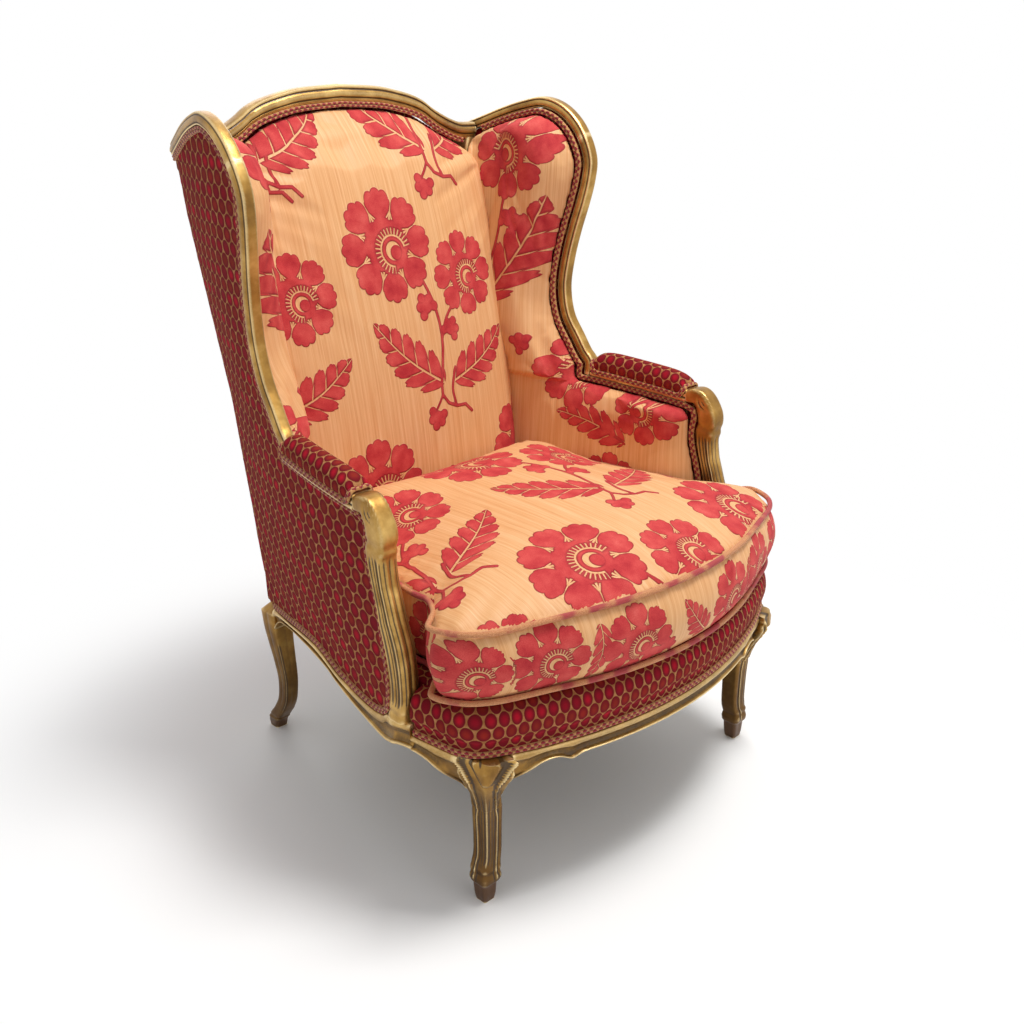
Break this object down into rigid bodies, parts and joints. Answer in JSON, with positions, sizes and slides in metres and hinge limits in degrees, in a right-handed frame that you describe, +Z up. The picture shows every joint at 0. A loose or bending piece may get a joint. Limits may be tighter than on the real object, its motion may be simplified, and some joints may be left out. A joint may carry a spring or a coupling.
{
  "type": "bergere chair",
  "caption": "Low winged armchair with closed upholstered sides, a bowed front and a loose boxed seat cushion, on a carved and gilded wood frame with curved legs.",
  "frame": {"origin": "on the floor, under the middle of the chair's width and depth", "axes": "+X to the right of a person facing the chair, -Y to the front, +Z up; the chair is its own mirror image across X = 0"},
  "size_m": [0.7676, 0.8174, 1.115],
  "materials": {
    "gilded_wood": "carved beech, gilded and rubbed",
    "bare_beech": "planed, unfinished",
    "spring_steel": "drawn wire",
    "jute": "coarse plain weave",
    "deck_cloth": "plain cotton",
    "dust_cloth": "thin plain weave",
    "brass_zip": "small brass teeth on brown tape",
    "figured_velvet": "cut velvet, floral sprigs on a ribbed ground",
    "dotted_fabric": "cut velvet, oval dots on a golden ground"
  },
  "bodies": {
    "frame": {"arm_pad_gimp_left": "dotted_fabric", "arm_pad_gimp_right": "dotted_fabric", "arm_pad_left": "dotted_fabric", "arm_pad_right": "dotted_fabric", "arm_post_left": "gilded_wood", "arm_post_right": "gilded_wood", "arm_rail_left": "gilded_wood", "arm_rail_right": "gilded_wood", "back_hessian": "jute", "crest_gimp": "dotted_fabric", "crest_rail": "gilded_wood", "dust_cover": "dust_cloth", "front_border": "dotted_fabric", "front_corner_block_left": "bare_beech", "front_corner_block_right": "bare_beech", "front_gimp": "dotted_fabric", "front_leg_left": "gilded_wood", "front_leg_right": "gilded_wood", "front_seat_rail": "gilded_wood", "inner_back_pad": "figured_velvet", "inner_side_gimp_left": "dotted_fabric", "inner_side_gimp_right": "dotted_fabric", "inner_side_pad_left": "figured_velvet", "inner_side_pad_right": "figured_velvet", "lower_back_rail": "bare_beech", "outer_back_gimp": "dotted_fabric", "outer_back_panel": "dotted_fabric", "outer_side_gimp_left": "dotted_fabric", "outer_side_gimp_right": "dotted_fabric", "outer_side_panel_left": "dotted_fabric", "outer_side_panel_right": "dotted_fabric", "rear_corner_block_left": "bare_beech", "rear_corner_block_right": "bare_beech", "rear_leg_left": "gilded_wood", "rear_leg_right": "gilded_wood", "rear_seat_rail": "gilded_wood", "seat_deck": "deck_cloth", "seat_spring_centre": "spring_steel", "seat_spring_front_left": "spring_steel", "seat_spring_front_right": "spring_steel", "seat_spring_rear_left": "spring_steel", "seat_spring_rear_right": "spring_steel", "seat_webbing": "jute", "side_seat_rail_left": "gilded_wood", "side_seat_rail_right": "gilded_wood", "side_tack_rail_left": "bare_beech", "side_tack_rail_right": "bare_beech", "spring_hessian": "jute", "wing_stile_left": "gilded_wood", "wing_stile_right": "gilded_wood", "wing_top_rail_left": "gilded_wood", "wing_top_rail_right": "gilded_wood"},
    "cushion": {"seat_cushion": "figured_velvet", "cushion_welt_top": "figured_velvet", "cushion_welt_bottom": "figured_velvet", "cushion_zip": "brass_zip"}
  },
  "joints": [
    {"name": "cushion_lift", "type": "slide", "parent": "frame", "child": "cushion", "axis": [0, 0, 1], "range_m": [0, 0.15]}
  ]
}
